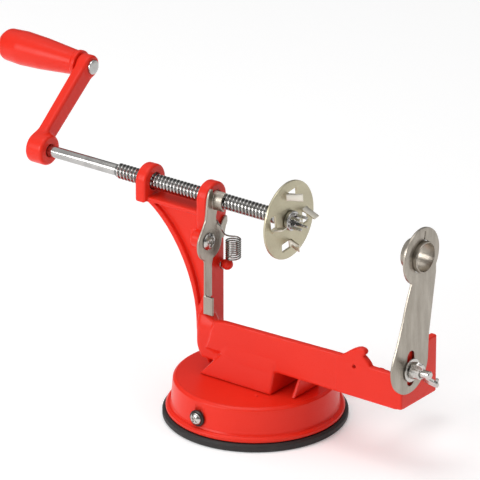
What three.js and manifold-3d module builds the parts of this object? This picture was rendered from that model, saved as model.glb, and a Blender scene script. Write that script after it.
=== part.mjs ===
// Suction-base apple peeler corer: a threaded crank shaft feeds an apple through a slicing and coring ring.
// Millimetres, +Z up. The origin is the centre of the suction cup's underside; +X runs from crank to slicer.
import * as THREE from 'three';
import { mergeVertices } from 'three/addons/utils/BufferGeometryUtils.js';
import Module from 'manifold-3d';

const wasm = await Module();
wasm.setup();

// ---- driving dimensions ----
const GAP = 0.3;                 // space between neighbouring pieces
const SHAFT_Z = 130;             // height of the feed shaft's axis
const CUP_R = 55, CUP_RIM_H = 5;
const FLANGE_R = 53, FLANGE_TOP = 8.2;
const HOUSING_R = 49.5, HOUSING_TOP_R = 48, HOUSING_TOP = 25.5, HOUSING_WALL = 2.6;
const AXLE_X = -4.6, AXLE_Z = 14.4, AXLE_R = 2.5;
const CAM_THROW = 2.2, CAM_R = 4.8; // from the axle to the eccentric's centre, and its radius
const POST_FACE_X = -28.6, POST_HALF_Y = 7.6, WEB_HALF_Y = 4.6;
const LUG_R = 10.25, LUG_T = 7.5, LUG_BORE_R = 5.3;
const REAR_LUG_X = -77.4;
const BAR_FRONT_Y = -16, BAR_WALL = 4, BAR_BOTTOM = 39;
const PLATE_OUT_X = 116, PLATE_T = 4.4, PLATE_BACK_Y = 19, PLATE_TOP = 75.5;
const THREAD_R = 4.7, SMOOTH_R = 3.5, NECK_R = 2.6;
const THREAD_START_X = -101.6, NECK_START_X = 20.2, DISC_X = 23, DISC_T = 1.4, DISC_R = 23.7;
const HUB_X0 = -165.2, HUB_X1 = -152.9, CRANK_LENGTH = 60.6, CRANK_ANGLE = 38.5;
const TIP_X0 = -166.2, TIP_X1 = -158;
const PIVOT_Y = -10, PIVOT_Z = 106.8, LEVER_X = -28.3, LEVER_T = 1.5;
const BOLT_Y = -9.6, BOLT_Z = 64, BOLT_HEAD_R = 4.7, ARM_X = 116.3, ARM_T = 1.5;
const RING_Z = 131.2, RING_R = 17.1, CORE_R = 9.3, CORE_WALL = 0.7;
const PEEL_X = 84, PEEL_Y = -4.5, PEEL_Z = 52, PEEL_LENGTH = 70, PEEL_DROP = 24;

const COLOUR = {
  red: { color: 0xd92a1c, roughness: 0.35, metalness: 0 },
  rubber: { color: 0x1d1d1c, roughness: 0.8, metalness: 0 },
  steel: { color: 0xa39b8c, roughness: 0.4, metalness: 1 },
  chrome: { color: 0xcfcdca, roughness: 0.15, metalness: 1 },
  dark: { color: 0x2b2624, roughness: 0.5, metalness: 0.6 },
};

// ---- solids ----
function solid(geometry) {
  const g = geometry.clone();
  g.deleteAttribute('normal');
  g.deleteAttribute('uv');
  const merged = mergeVertices(g, 1e-4);
  return new wasm.Manifold(new wasm.Mesh({
    numProp: 3,
    vertProperties: new Float32Array(merged.attributes.position.array),
    triVerts: new Uint32Array(merged.index.array),
  }));
}

const X = new THREE.Vector3(1, 0, 0), Y = new THREE.Vector3(0, 1, 0), Z = new THREE.Vector3(0, 0, 1);

function extrude(shape, depth, basis, offset, segments) {
  const geometry = new THREE.ExtrudeGeometry(shape, { depth, bevelEnabled: false, curveSegments: segments });
  geometry.applyMatrix4(new THREE.Matrix4().makeBasis(...basis));
  geometry.translate(offset.x, offset.y, offset.z);
  return solid(geometry);
}
// a shape drawn in (y, z), from x0 to x1
const alongX = (shape, x0, x1, segments = 8) => extrude(shape, x1 - x0, [Y, Z, X], X.clone().multiplyScalar(x0), segments);
// a shape drawn in (x, z), from y0 to y1
const alongY = (shape, y0, y1, segments = 8) => (
  extrude(shape, y1 - y0, [X, Z, Y.clone().negate()], Y.clone().multiplyScalar(y1), segments));
// a shape drawn in (x, y), from z0 to z1
const alongZ = (shape, z0, z1, segments = 8) => extrude(shape, z1 - z0, [X, Y, Z], Z.clone().multiplyScalar(z0), segments);

const polygon = (points) => new THREE.Shape(points.map(([a, b]) => new THREE.Vector2(a, b)));
const circle = (a, b, r) => new THREE.Shape().absarc(a, b, r, 0, 2 * Math.PI, false);
const rectangle = (a0, b0, a1, b1) => polygon([[a0, b0], [a1, b0], [a1, b1], [a0, b1]]);
const rodX = (r, x0, x1, y, z, segments = 12) => alongX(circle(y, z, r), x0, x1, segments);
const rodY = (r, y0, y1, x, z, segments = 12) => alongY(circle(x, z, r), y0, y1, segments);
const block = (x0, x1, y0, y1, z0, z1) => alongZ(rectangle(x0, y0, x1, y1), z0, z1);

// a lathe about the vertical through the origin, from (radius, z) points
function turnedZ(points, segments) {
  const geometry = new THREE.LatheGeometry(points.map(([r, z]) => new THREE.Vector2(r, z)), segments);
  geometry.rotateX(Math.PI / 2);
  return solid(geometry);
}
// a lathe about the line (y, z) along X, from (radius, x) points
function turnedX(points, y, z, segments) {
  const geometry = new THREE.LatheGeometry(points.map(([r, x]) => new THREE.Vector2(r, x)), segments);
  geometry.rotateZ(-Math.PI / 2);
  geometry.translate(0, y, z);
  return solid(geometry);
}

const union = (first, ...rest) => rest.reduce((sum, next) => sum.add(next), first);
const cut = (body, ...tools) => tools.reduce((left, tool) => left.subtract(tool), body);

const object = new THREE.Group();
function add(name, body, look) {
  const mesh = body.getMesh();
  const geometry = new THREE.BufferGeometry();
  geometry.setAttribute('position', new THREE.BufferAttribute(Float32Array.from(mesh.vertProperties), 3));
  geometry.setIndex(Array.from(mesh.triVerts));
  geometry.computeVertexNormals();
  const part = new THREE.Mesh(geometry, new THREE.MeshStandardMaterial({ ...COLOUR[look], flatShading: true }));
  part.name = name;
  object.add(part);
}

// ---- base ----
function suctionCup() {
  const membrane = 2.4, rimInner = 44;
  return turnedZ([
    [0, 0], [CUP_R - 1.5, 0], [CUP_R, 1.5], [CUP_R, 3.8], [CUP_R - 1.2, CUP_RIM_H],
    [rimInner, CUP_RIM_H], [rimInner - 2, membrane], [0, membrane],
  ], 64);
}

function baseHousing() {
  const floor = CUP_RIM_H + GAP;
  const inside = HOUSING_R - HOUSING_WALL;
  const shell = turnedZ([
    [inside, floor], [FLANGE_R, floor], [FLANGE_R, FLANGE_TOP - 0.8], [FLANGE_R - 1, FLANGE_TOP],
    [HOUSING_R + 0.4, FLANGE_TOP + 0.6], [HOUSING_TOP_R + 0.6, HOUSING_TOP - 1.5], [HOUSING_TOP_R - 1, HOUSING_TOP],
    [0, HOUSING_TOP], [0, HOUSING_TOP - HOUSING_WALL], [inside, HOUSING_TOP - HOUSING_WALL], [inside, floor],
  ], 64);
  const axleHole = rodY(AXLE_R + GAP, -HOUSING_R - 4, HOUSING_R + 4, AXLE_X, AXLE_Z);
  return cut(shell, axleHole);
}

function cupStem() {
  const yokeX = 8.8, yokeT = 2, halfY = 4;
  const low = AXLE_Z - CAM_R - 0.4, high = AXLE_Z + CAM_R + 0.4;
  const foot = alongZ(circle(0, 0, 12), 2.4 + GAP, low - yokeT / 2, 16);
  const yoke = block(-yokeX - yokeT, yokeX + yokeT, -halfY, halfY, low - yokeT, high + 1.2);
  return cut(union(foot, yoke), block(-yokeX, yokeX, -halfY - 1, halfY + 1, low, high));
}

const eccentric = () => cut(
  rodY(CAM_R, -3.6, 3.6, AXLE_X + CAM_THROW, AXLE_Z, 14), rodY(AXLE_R - 0.5 + GAP, -5, 5, AXLE_X, AXLE_Z, 10));

const camAxle = () => union(
  rodY(AXLE_R, -HOUSING_R - 0.2, -3.6 - GAP, AXLE_X, AXLE_Z, 10),
  rodY(AXLE_R - 0.5, -6, 6, AXLE_X, AXLE_Z, 10),
  rodY(AXLE_R, 3.6 + GAP, HOUSING_R + 5, AXLE_X, AXLE_Z, 10));

const axleWasher = () => cut(
  rodY(5, -HOUSING_R - 1.6, -HOUSING_R - 0.5, AXLE_X, AXLE_Z, 14),
  rodY(1.6, -HOUSING_R - 5, -HOUSING_R + 5, AXLE_X, AXLE_Z, 8));

const axleScrew = () => union(
  rodY(3.7, -HOUSING_R - 4.2, -HOUSING_R - 1.6 - GAP, AXLE_X, AXLE_Z, 12),
  rodY(1.3, -HOUSING_R - 3, -HOUSING_R - 0.2 - GAP, AXLE_X, AXLE_Z, 8));

// the lever lies along the housing's far side, its tip towards the slicer
function suctionLever() {
  const y0 = HOUSING_R + 2.6, y1 = HOUSING_R + 7.2, reach = 38;
  const outline = new THREE.Shape();
  outline.moveTo(AXLE_X, AXLE_Z + 5.8);
  outline.absarc(AXLE_X, AXLE_Z, 5.8, Math.PI / 2, Math.PI * 1.5, false);
  outline.lineTo(AXLE_X + reach - 4, AXLE_Z - 4.2);
  outline.absarc(AXLE_X + reach - 4, AXLE_Z, 4.2, -Math.PI / 2, Math.PI / 2, false);
  return cut(alongY(outline, y0, y1), rodY(AXLE_R + GAP, y0 - 1, HOUSING_R + 5 + GAP, AXLE_X, AXLE_Z));
}

// ---- frame: post, lugs, bar and end plate in one moulding ----
function postOutline(inset) {
  const shape = new THREE.Shape();
  shape.moveTo(POST_FACE_X - inset, 26 + inset);
  shape.lineTo(POST_FACE_X - inset, 122.2 - inset);
  shape.lineTo(-80 + inset * 2.6, 122.2 - inset);
  shape.bezierCurveTo(-60 + inset, 115 - inset, -38 - inset * 0.2, 82, -38.2 + inset, 50);
  shape.quadraticCurveTo(-38.2 + inset, 41, -33.5 + inset, 35 + inset * 2);
  shape.lineTo(-32.5 + inset * 0.5, 26 + inset);
  return shape;
}

function pocket() {
  const shape = new THREE.Shape();
  const right = POST_FACE_X - 3.4, top = 119.6;
  shape.moveTo(right, 72);
  shape.lineTo(right, top);
  shape.lineTo(-69.5, top);
  shape.bezierCurveTo(-56.5, 112.5, -38.8, 90, -36.4, 62);
  return shape;
}

function lug(x0, taper) {
  const shape = new THREE.Shape();
  shape.moveTo(-LUG_R, SHAFT_Z - 10.8);
  if (taper) {
    shape.moveTo(-LUG_R, SHAFT_Z - 12);
    shape.lineTo(-POST_HALF_Y, SHAFT_Z - 26);
    shape.lineTo(POST_HALF_Y, SHAFT_Z - 26);
    shape.lineTo(LUG_R, SHAFT_Z - 12);
  } else {
    shape.lineTo(LUG_R, SHAFT_Z - 10.8);
  }
  shape.absarc(0, SHAFT_Z, LUG_R, 0, Math.PI, false);
  return alongX(shape, x0, x0 + LUG_T, 10);
}

function barWall() {
  const shape = new THREE.Shape();
  shape.moveTo(-28.5, BAR_BOTTOM - 3.5);
  shape.lineTo(-20, BAR_BOTTOM);
  shape.lineTo(PLATE_OUT_X - 5, BAR_BOTTOM + 0.4);
  shape.lineTo(PLATE_OUT_X - 1, BAR_BOTTOM + 1.2);
  shape.lineTo(PLATE_OUT_X - 1, 61);
  shape.lineTo(93.8, 61);
  shape.quadraticCurveTo(92.2, 64, 88.2, 66.6);
  shape.quadraticCurveTo(90, 68.4, 90, 70);
  shape.quadraticCurveTo(89.6, 71.4, 86.2, 71);
  shape.quadraticCurveTo(79, 68.6, 75, 64.6);
  shape.lineTo(73, 63.4);
  shape.lineTo(-12, 61.2);
  shape.lineTo(-19.5, 59.5);
  shape.lineTo(-29.5, 57.5);
  shape.lineTo(-31.8, 43);
  return alongY(shape, BAR_FRONT_Y, BAR_FRONT_Y + BAR_WALL, 6);
}

function endPlate() {
  const chamfer = 8;
  return alongX(polygon([
    [BAR_FRONT_Y, BAR_BOTTOM + 1.4], [PLATE_BACK_Y - 4, BAR_BOTTOM + 1.4], [PLATE_BACK_Y, BAR_BOTTOM + chamfer],
    [PLATE_BACK_Y, PLATE_TOP], [BAR_FRONT_Y, PLATE_TOP],
  ]), PLATE_OUT_X - PLATE_T, PLATE_OUT_X);
}

// the pedestal tapers from its foot on the housing up to the bar
function pedestal() {
  const foot = HOUSING_TOP + GAP, top = BAR_BOTTOM + 4.5;
  const front = polygon([[-26.5, foot], [25, foot], [25, BAR_BOTTOM + 3], [22, top], [-11, top]]);
  const side = polygon([[-19, foot], [17, foot], [15.6, top], [-15.8, top]]);
  return alongY(front, -20, 18).intersect(alongX(side, -30, 30));
}

function frame() {
  const post = alongY(postOutline(0), -POST_HALF_Y, POST_HALF_Y, 16);
  const pocketFront = alongY(pocket(), -POST_HALF_Y - 1, -WEB_HALF_Y, 14);
  const pocketBack = alongY(pocket(), WEB_HALF_Y, POST_HALF_Y + 1, 14);
  const barFloor = block(-23, PLATE_OUT_X - 2, BAR_FRONT_Y + 1, 10, BAR_BOTTOM + 0.4, BAR_BOTTOM + 3.4);
  const foot = alongY(polygon([
    [POST_FACE_X - 4, 58], [POST_FACE_X - 4, 42], [POST_FACE_X - 2.6, 37], [POST_FACE_X + 1, HOUSING_TOP + 8],
    [-20, HOUSING_TOP + 8], [-20, 42.5], [POST_FACE_X, 42.5], [POST_FACE_X, 58]]), BAR_FRONT_Y + 1, POST_HALF_Y);
  const gusset = alongX(polygon([
    [-14.6, HOUSING_TOP + GAP], [10, HOUSING_TOP + GAP], [10, BAR_BOTTOM + 1], [-5, BAR_BOTTOM + 1]]), 37, 39);
  const boss = rodX(5.2, POST_FACE_X - 8, POST_FACE_X, PIVOT_Y, PIVOT_Z, 14);
  const peg = rodX(3.3, POST_FACE_X - 2, -20.4, 4, 88.3, 10);
  const peelLugs = [PEEL_X - 11, PEEL_X + 8].map((x) => alongX(polygon([
    [BAR_FRONT_Y + 2, BAR_BOTTOM + 2], [PEEL_Y + 4, BAR_BOTTOM + 2], [PEEL_Y + 4, PEEL_Z + 2],
    [PEEL_Y + 1, PEEL_Z + 4.5], [BAR_FRONT_Y + 2, PEEL_Z + 4.5]]), x, x + 3));
  const body = union(
    cut(post, pocketFront, pocketBack), lug(REAR_LUG_X - LUG_T / 2, false), lug(POST_FACE_X - LUG_T, true),
    barWall(), endPlate(), barFloor, pedestal(), foot, gusset, boss, peg, ...peelLugs);
  return cut(
    body,
    rodX(LUG_BORE_R, -90, -20, 0, SHAFT_Z, 14),
    rodX(2.1 + GAP, POST_FACE_X - 7, POST_FACE_X + 1, PIVOT_Y, PIVOT_Z),
    alongX(rectangle(BOLT_Y - 2.9, BOLT_Z - 2.9, BOLT_Y + 2.9, BOLT_Z + 2.9), PLATE_OUT_X - PLATE_T - 1, PLATE_OUT_X + 1),
    rodX(BOLT_HEAD_R + GAP, PLATE_OUT_X - PLATE_T - 5, PLATE_OUT_X - PLATE_T, BOLT_Y, BOLT_Z),
    rodX(1.5 + 0.1, PEEL_X - 12, PEEL_X + 12, PEEL_Y, PEEL_Z, 8),
    rodY(0.9, BAR_FRONT_Y - 1, BAR_FRONT_Y + BAR_WALL + 1, 82.5, 58.6, 5));
}

// ---- feed shaft, drive disc and crank ----
const feedShaft = () => turnedX([
  [0, HUB_X0 + 3.5], [SMOOTH_R - 0.4, HUB_X0 + 3.5], [SMOOTH_R, HUB_X0 + 4], [SMOOTH_R, THREAD_START_X],
  [THREAD_R, THREAD_START_X + 0.8], [THREAD_R, NECK_START_X], [NECK_R, NECK_START_X], [NECK_R, 27.6], [0, 27.6],
], 0, SHAFT_Z, 28);

const ringX = (outer, inner, x0, x1, segments = 14) => cut(
  rodX(outer, x0, x1, 0, SHAFT_Z, segments), rodX(inner, x0 - 1, x1 + 1, 0, SHAFT_Z, 10));

function driveDisc() {
  const disc = ringX(DISC_R, NECK_R + GAP, DISC_X, DISC_X + DISC_T, 24);
  const count = 4, firstAngle = 97, finR = 15, finHeight = 4.8, finLength = 8.6, finLean = 24;
  const fins = Array.from({ length: count }, (_, i) => {
    const fin = alongX(rectangle(finR - finHeight / 2, -0.6, finR + finHeight / 2, 0.6), 0, finLength);
    const leaning = fin.rotate([0, finLean, 0]).rotate([firstAngle + (i * 360) / count, 0, 0]);
    return leaning.translate([DISC_X + DISC_T - 0.4, 0, SHAFT_Z]);
  });
  return union(disc, ...fins);
}

function centreFork() {
  const x0 = DISC_X + DISC_T + GAP, hub = ringX(6, NECK_R + GAP, x0, x0 + 2.6, 12);
  const prongs = Array.from({ length: 4 }, (_, i) => {
    const prong = alongX(rectangle(3.2, -1.1, 4.6, 1.1), 0, 8);
    return prong.rotate([45 + i * 90, 0, 0]).translate([x0 + 2.4, 0, SHAFT_Z]);
  });
  return union(hub, ...prongs);
}

// crank pieces are drawn with the arm along +Y and turned to CRANK_ANGLE about the shaft
const turned = (body) => body.rotate([CRANK_ANGLE, 0, 0]).translate([0, 0, SHAFT_Z]);

function crankArm() {
  const x0 = HUB_X0, x1 = HUB_X1;
  const hub = alongX(circle(0, 0, 9.3), x0, x1, 16);
  const tip = alongX(circle(CRANK_LENGTH, 0, 7), TIP_X0, TIP_X1, 14);
  const arm = alongX(polygon([[5, -5], [CRANK_LENGTH, -6], [CRANK_LENGTH, 6], [5, 5]]), TIP_X0 + 0.4, TIP_X1 - 0.4);
  return turned(cut(
    union(hub, arm, tip),
    alongX(circle(0, 0, SMOOTH_R + GAP), x0 + 3.2, x1 + 1, 12), alongX(circle(0, 0, 1.9), x0 - 1, x0 + 4, 10),
    alongX(circle(CRANK_LENGTH, 0, 2.4 + GAP), TIP_X0 - 1, TIP_X1 + 1, 12)));
}

const crankScrew = () => turned(union(
  alongX(circle(0, 0, 4.2), HUB_X0 - 2.9, HUB_X0 - GAP, 12), alongX(circle(0, 0, 1.6), HUB_X0 - 1, HUB_X0 + 3.2, 8)));

const gripPin = () => turned(union(
  alongX(circle(CRANK_LENGTH, 0, 4.6), TIP_X1 + GAP, TIP_X1 + 1.8, 12),
  alongX(circle(CRANK_LENGTH, 0, 2.4), TIP_X0 - 57, TIP_X1 + 0.9, 10)));

function grip() {
  const x0 = TIP_X0 - GAP, end = x0 - 60;
  const outside = turnedX([
    [0, end], [7, end], [9.6, end + 3.5], [10.6, end + 14], [10.2, end + 30], [8.6, end + 50], [7.4, x0 - 4],
    [7.4, x0], [0, x0]], CRANK_LENGTH, 0, 28);
  return turned(cut(outside, alongX(circle(CRANK_LENGTH, 0, 2.4 + GAP), TIP_X0 - 57 - GAP, x0 + 1, 10)));
}

// ---- thread release lever ----
function releaseLever() {
  const ringY = -8.3, ringZ = 105.4, ringR = 11.3;
  const shape = new THREE.Shape();
  shape.moveTo(-12.9, 74);
  shape.lineTo(-6.5, 74);
  shape.lineTo(-6.4, 94.2);
  shape.absarc(ringY, ringZ, ringR, -1.05, 0, false);
  shape.lineTo(5.8, 104.6);
  shape.quadraticCurveTo(6.6, 110, 9, 114.2);
  shape.lineTo(8, 117.4);
  shape.quadraticCurveTo(4.6, 118, 2.4, 113.4);
  shape.lineTo(-0.8, 115.4);
  shape.quadraticCurveTo(-4.4, 119, -1.6, 124);
  shape.lineTo(-5.4, 124.6);
  shape.lineTo(-5.4, 138.3);
  shape.lineTo(-7, 138.9);
  shape.quadraticCurveTo(-10.2, 136, -10.4, 126);
  shape.quadraticCurveTo(-12.4, 119, -17.6, 112.4);
  shape.absarc(ringY, ringZ, ringR, 2.5, 4.29, false);
  const plate = alongX(shape, LEVER_X, LEVER_X + LEVER_T, 8);
  const tail = block(LEVER_X, LEVER_X + LEVER_T, -12.9, -8.6, 61.5, 75);
  const tab = block(LEVER_X, LEVER_X + 6.4, -13.2, -11.9, 61.5, 73.2);
  const tongue = block(LEVER_X, LEVER_X + 8, -7, -5.5, 125, 138.3);
  return cut(union(plate, tail, tab, tongue), rodX(2.9 + 0.1, LEVER_X - 1, LEVER_X + 3, PIVOT_Y, PIVOT_Z));
}

const leverScrew = () => union(
  turnedX([[0, LEVER_X + LEVER_T + GAP], [5.2, LEVER_X + LEVER_T + GAP], [5.2, LEVER_X + 3.4],
    [3.4, LEVER_X + 4.4], [0, LEVER_X + 4.4]], PIVOT_Y, PIVOT_Z, 24),
  rodX(2.9, LEVER_X, LEVER_X + 3, PIVOT_Y, PIVOT_Z, 12), rodX(2.1, POST_FACE_X - 6.5, LEVER_X + 1, PIVOT_Y, PIVOT_Z));

const leverSpring = () => cut(
  alongZ(circle(-19.4, 4.2, 4.7), 92.6, 105.4, 12), alongZ(circle(-19.4, 4.2, 3.4), 92, 106, 10));

// ---- slicing and coring arm ----
function slicerArm() {
  const footY = -10.6, footZ = 66.8, footR = 18.3;
  const shape = new THREE.Shape();
  shape.moveTo(-RING_R * Math.cos(1.0), RING_Z - RING_R * Math.sin(1.0));
  shape.quadraticCurveTo(-14, 108, -18, 96);
  shape.lineTo(-25.6, 80);
  shape.quadraticCurveTo(-29, 73, footY - footR, footZ);
  shape.absarc(footY, footZ, footR, Math.PI, 2 * Math.PI, false);
  shape.lineTo(8, 79);
  shape.lineTo(14.6, 116.5);
  shape.absarc(0, RING_Z, RING_R, -0.6, Math.PI + 1.0, false);
  const slot = new THREE.Path();
  const slotR = 3.4, slotLow = 57.4, slotHigh = 72.4;
  slot.absarc(BOLT_Y, slotLow, slotR, Math.PI, 2 * Math.PI, false);
  slot.absarc(BOLT_Y, slotHigh, slotR, 0, Math.PI, false);
  shape.holes.push(slot);
  const plate = alongX(shape, ARM_X, ARM_X + ARM_T, 12);
  const radialSlit = alongX(rectangle(CORE_R - 1, -0.6, 14.6, 0.6), ARM_X - 1, ARM_X + ARM_T + 1)
    .rotate([78, 0, 0]).translate([0, 0, RING_Z]);
  return cut(plate, rodX(CORE_R + GAP, ARM_X - 1, ARM_X + ARM_T + 1, 0, RING_Z, 16), radialSlit);
}

const coringRing = () => cut(
  rodX(CORE_R, ARM_X - 7.5, ARM_X + ARM_T + 2.8, 0, RING_Z, 16),
  rodX(CORE_R - CORE_WALL, ARM_X - 9, ARM_X + ARM_T + 5, 0, RING_Z, 16));

// a coach bolt: domed head inside the end plate, square neck in its hole, stud outwards
function clampBolt() {
  const inner = PLATE_OUT_X - PLATE_T - GAP;
  const head = turnedX([
    [0, inner - 3], [2.6, inner - 2.6], [4.4, inner - 1], [BOLT_HEAD_R, inner], [0, inner]], BOLT_Y, BOLT_Z, 24);
  const neck = alongX(rectangle(BOLT_Y - 2.5, BOLT_Z - 2.5, BOLT_Y + 2.5, BOLT_Z + 2.5), inner - 1, PLATE_OUT_X - 0.4);
  return union(head, neck, rodX(2.45, inner, 131.6, BOLT_Y, BOLT_Z, 10));
}

const WASHER_X = ARM_X + ARM_T + GAP;
const armWasher = () => cut(
  rodX(6.1, WASHER_X, WASHER_X + 1, BOLT_Y, BOLT_Z, 14), rodX(2.45 + 0.25, WASHER_X - 1, WASHER_X + 2, BOLT_Y, BOLT_Z, 10));

function wingNut() {
  const x0 = WASHER_X + 1 + GAP;
  const hub = turnedX([[0, x0], [5, x0], [4.2, x0 + 5.4], [3.6, x0 + 6], [0, x0 + 6]], 0, 0, 24);
  const wing = alongY(polygon([[x0 + 0.8, 3.6], [x0 + 6, 3], [x0 + 12, 9.6], [x0 + 12.6, 13.4], [x0 + 10, 14.6],
    [x0 + 5, 11.8]]), -1, 1);
  const opposite = wing.rotate([180, 0, 0]);
  return cut(union(hub, wing, opposite), rodX(2.45 + 0.25, x0 - 1, x0 + 8, 0, 0, 10))
    .rotate([-138, 0, 0]).translate([0, BOLT_Y, BOLT_Z]);
}

// ---- peeling arm, parked low behind the bar ----
const atPeelAngle = (body) => body.rotate([-PEEL_DROP, 0, 0]).translate([0, PEEL_Y, PEEL_Z]);

const peelRod = () => rodX(1.5, PEEL_X - 12.5, PEEL_X + 12.5, PEEL_Y, PEEL_Z, 8);

function peelArm() {
  const hub = alongX(circle(0, 0, 3.4), PEEL_X - 7.6, PEEL_X + 7.6, 10);
  const outline = polygon([[PEEL_X - 5, 2], [PEEL_X + 5, 2], [PEEL_X + 4, PEEL_LENGTH - 13], [PEEL_X - 4, PEEL_LENGTH - 13]]);
  const blade = alongZ(outline, -0.9, 0.9);
  const fork = [PEEL_X - 6, PEEL_X + 4].map((x) => block(x, x + 2, PEEL_LENGTH - 14, PEEL_LENGTH, -1.6, 1.6));
  const bridge = block(PEEL_X - 6, PEEL_X + 6, PEEL_LENGTH - 15, PEEL_LENGTH - 12.8, -1.6, 1.6);
  return atPeelAngle(cut(
    union(hub, blade, bridge, ...fork),
    alongX(circle(0, 0, 1.5 + 0.1), PEEL_X - 9, PEEL_X + 9, 8),
    alongX(circle(PEEL_LENGTH - 4, 0, 0.8 + 0.1), PEEL_X - 8, PEEL_X + 8, 6)));
}

const bladePin = () => atPeelAngle(union(
  alongX(circle(PEEL_LENGTH - 4, 0, 0.8), PEEL_X - 6.4, PEEL_X + 6.4, 6),
  alongX(circle(PEEL_LENGTH - 4, 0, 1.5), PEEL_X + 6.3, PEEL_X + 7, 7)));

function peelBlade() {
  const strip = block(PEEL_X - 3.4, PEEL_X + 3.4, PEEL_LENGTH - 6.4, PEEL_LENGTH - 1.6, -1.3, 1.3);
  const groove = block(PEEL_X - 2.6, PEEL_X + 2.6, PEEL_LENGTH - 2.6, PEEL_LENGTH - 1, -3, 3);
  return atPeelAngle(cut(strip, groove, alongX(circle(PEEL_LENGTH - 4, 0, 0.8 + 0.1), PEEL_X - 8, PEEL_X + 8, 6)));
}

add('suction_cup', suctionCup(), 'rubber');
add('base_housing', baseHousing(), 'red');
add('cup_stem', cupStem(), 'dark');
add('cam', eccentric(), 'dark');
add('cam_axle', camAxle(), 'chrome');
add('axle_washer', axleWasher(), 'dark');
add('axle_screw', axleScrew(), 'chrome');
add('suction_lever', suctionLever(), 'red');
add('frame', frame(), 'red');
add('thrust_washer', ringX(8, NECK_R + GAP, NECK_START_X + GAP, DISC_X - GAP), 'steel');
add('feed_shaft', feedShaft(), 'chrome');
add('drive_disc', driveDisc(), 'steel');
add('centre_fork', centreFork(), 'chrome');
add('crank_arm', crankArm(), 'red');
add('crank_screw', crankScrew(), 'chrome');
add('grip_pin', gripPin(), 'chrome');
add('grip', grip(), 'red');
add('release_lever', releaseLever(), 'steel');
add('lever_screw', leverScrew(), 'chrome');
add('lever_spring', leverSpring(), 'chrome');
add('slicer_arm', slicerArm(), 'steel');
add('coring_ring', coringRing(), 'steel');
add('clamp_bolt', clampBolt(), 'chrome');
add('arm_washer', armWasher(), 'chrome');
add('wing_nut', wingNut(), 'chrome');
add('peel_rod', peelRod(), 'chrome');
add('peel_arm', peelArm(), 'steel');
add('blade_pin', bladePin(), 'chrome');
add('peel_blade', peelBlade(), 'steel');

export default object;
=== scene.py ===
"""Apple peeler corer on a suction base. Lengths are in millimetres until a mesh is made."""
import math

import bmesh
import bpy
import numpy as np
from mathutils import Matrix, Vector

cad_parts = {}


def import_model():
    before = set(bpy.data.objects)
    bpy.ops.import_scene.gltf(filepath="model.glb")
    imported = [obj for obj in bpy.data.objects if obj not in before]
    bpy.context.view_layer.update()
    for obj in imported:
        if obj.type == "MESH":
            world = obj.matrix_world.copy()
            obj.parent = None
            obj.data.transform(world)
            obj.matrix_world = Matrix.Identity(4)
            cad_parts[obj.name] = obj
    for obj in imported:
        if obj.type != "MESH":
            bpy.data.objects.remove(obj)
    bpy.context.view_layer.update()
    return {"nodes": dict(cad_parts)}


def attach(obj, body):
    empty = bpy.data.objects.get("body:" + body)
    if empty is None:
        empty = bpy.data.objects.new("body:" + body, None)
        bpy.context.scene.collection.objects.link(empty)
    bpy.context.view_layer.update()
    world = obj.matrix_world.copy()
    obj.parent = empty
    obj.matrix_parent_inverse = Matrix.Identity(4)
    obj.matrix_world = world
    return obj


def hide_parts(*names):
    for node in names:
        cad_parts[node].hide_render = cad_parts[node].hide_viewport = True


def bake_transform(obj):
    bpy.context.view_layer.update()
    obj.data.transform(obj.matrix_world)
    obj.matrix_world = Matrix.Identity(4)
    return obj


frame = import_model()

# ---- driving dimensions ----
MM = 0.001
SHAFT_Z, SMOOTH_R = 130.0, 3.5  # the feed shaft's axis, and the radius of its plain half
THREAD_START_X, THREAD_END_X, THREAD_PITCH = -101.6, 20.2, 2.5
THREAD_STOP_X = THREAD_END_X - 0.3  # where the thread has run out
GROOVE_FLOOR_R, GROOVE_CREST_R, GROOVE_SHADE = 3.4, 4.4, 0.26  # painted shade: the thread's darkening with depth
DISC_X0, DISC_X1, DISC_R = 23.0, 24.4, 23.7
CRANK_ANGLE, CRANK_LENGTH = math.radians(38.5), 60.6
HUB_X0, HUB_X1 = -165.2, -152.9  # the crank's hub
TIP_X0, TIP_X1 = -166.2, -158.0  # the crank's outer end, which holds the grip
HOUSING_R = 49.5
AXLE_X, AXLE_Z = -4.6, 14.4  # the suction cam's axle
POST_FACE_X, POST_HALF_Y = -28.6, 7.6
LUG_R, LUG_BORE_R = 10.25, 5.3  # the post's two bearings
BAR_FRONT_Y, PLATE_IN_X, PLATE_OUT_X, PLATE_BACK_Y = -16.0, 111.6, 116.0, 19.0
FRAME_BOTTOM_Z = 25.85
PEG_Y, PEG_Z = 4.0, 88.3  # the spring's peg on the post
PIVOT_Y, PIVOT_Z = -10.0, 106.8  # the release lever's pivot
LEVER_X, LEVER_T = -28.3, 1.5
BOLT_Y, BOLT_Z = -9.6, 64.0  # the slicing arm's clamp bolt
ARM_X, ARM_T = 116.3, 1.5
RING_Z, RING_R = 131.2, 17.1  # the coring ring
PEEL_X, PEEL_Y, PEEL_Z, PEEL_DROP = 84.0, -4.5, 52.0, math.radians(24)  # the peeling arm's hinge and slope


# ---- camera, light and floor ----
def add(name, data):
    obj = bpy.data.objects.new(name, data)
    bpy.context.scene.collection.objects.link(obj)
    return obj


def look_at(obj, place, target):
    obj.location = place
    obj.rotation_euler = (Vector(target) - Vector(place)).to_track_quat("-Z", "Y").to_euler()


def camera():
    azimuth, elevation, distance = math.radians(36.9), math.radians(23.1), 2.9158
    target = Vector((-0.01136, 0.0, 0.10824))
    data = bpy.data.cameras.new("camera")
    data.lens = 375.0
    data.sensor_width = 36.0
    data.clip_end = 60.0
    obj = add("camera", data)
    flat = math.cos(elevation)
    away = Vector((math.sin(azimuth) * flat, -math.cos(azimuth) * flat, math.sin(elevation)))
    look_at(obj, target + distance * away, target)
    bpy.context.scene.camera = obj


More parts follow.
